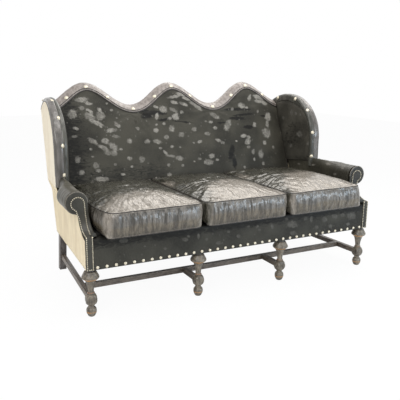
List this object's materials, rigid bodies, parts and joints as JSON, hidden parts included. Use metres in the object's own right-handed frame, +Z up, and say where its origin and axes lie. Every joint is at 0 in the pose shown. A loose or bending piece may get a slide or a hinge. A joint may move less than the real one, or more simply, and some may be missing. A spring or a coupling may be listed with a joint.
{
  "type": "high-back sofa",
  "caption": "Three-seat sofa with a serpentine high back, wings, rolled arms with swept fronts, loose cushions and turned front legs joined by stretchers.",
  "frame": {"origin": "centre of the sofa's box at the floor", "axes": "+Z up, -Y towards the front of the seat, +X to the right as seen from the front"},
  "size_m": [1.9738, 1.1336, 1.1525],
  "materials": {
    "turned_wood": "weathered grey-brown, worn to orange on the rims",
    "frame_wood": "raw sawn hardwood",
    "hide": "dark hair-on hide with silver-grey flecks",
    "band_leather": "soft taupe leather",
    "cushion_leather": "glossy crinkled taupe leather",
    "suede": "cream suede",
    "spring_steel": "drawn spring wire",
    "padding": "cotton felt over foam",
    "black_cloth": "black dust cloth"
  },
  "bodies": {
    "sofa": {"front_leg_1": "turned_wood", "front_leg_2": "turned_wood", "front_leg_3": "turned_wood", "front_leg_4": "turned_wood", "rear_leg_left": "turned_wood", "rear_leg_right": "turned_wood", "side_stretcher_left": "turned_wood", "side_stretcher_right": "turned_wood", "long_stretcher": "turned_wood", "spur_stretcher_left": "turned_wood", "spur_stretcher_right": "turned_wood", "front_rail": "frame_wood", "rear_rail": "frame_wood", "side_rail_left": "frame_wood", "side_rail_right": "frame_wood", "cross_rail_left": "frame_wood", "cross_rail_right": "frame_wood", "arm_stump_left": "frame_wood", "arm_stump_right": "frame_wood", "arm_board_left": "frame_wood", "arm_board_right": "frame_wood", "back_post_left": "frame_wood", "back_post_right": "frame_wood", "back_slat_left": "frame_wood", "back_slat_right": "frame_wood", "lower_back_rail": "frame_wood", "crest_board": "frame_wood", "wing_board_left": "frame_wood", "wing_board_right": "frame_wood", "seat_spring_1": "spring_steel", "seat_spring_2": "spring_steel", "seat_spring_3": "spring_steel", "seat_spring_4": "spring_steel", "seat_spring_5": "spring_steel", "seat_spring_6": "spring_steel", "front_edge_roll": "padding", "deck_pad": "padding", "dust_cover": "black_cloth", "apron_cover": "hide", "arm_cover_left": "hide", "arm_cover_right": "hide", "arm_front_left": "hide", "arm_front_right": "hide", "arm_facing_left": "hide", "arm_facing_right": "hide", "side_panel_left": "suede", "side_panel_right": "suede", "wing_outer_left": "suede", "wing_outer_right": "suede", "wing_pad_left": "hide", "wing_pad_right": "hide", "wing_band_left": "band_leather", "wing_band_right": "band_leather", "inside_back": "hide", "crest_band": "band_leather", "outer_back": "suede"},
    "left_cushion": {"seat_cushion_left": "cushion_leather"},
    "middle_cushion": {"seat_cushion_middle": "cushion_leather"},
    "right_cushion": {"seat_cushion_right": "cushion_leather"}
  },
  "joints": [
    {"name": "left_cushion_lift", "type": "slide", "parent": "sofa", "child": "left_cushion", "axis": [0, 0, 1], "range_m": [0, 0.75]},
    {"name": "middle_cushion_lift", "type": "slide", "parent": "sofa", "child": "middle_cushion", "axis": [0, 0, 1], "range_m": [0, 0.75]},
    {"name": "right_cushion_lift", "type": "slide", "parent": "sofa", "child": "right_cushion", "axis": [0, 0, 1], "range_m": [0, 0.75]}
  ]
}
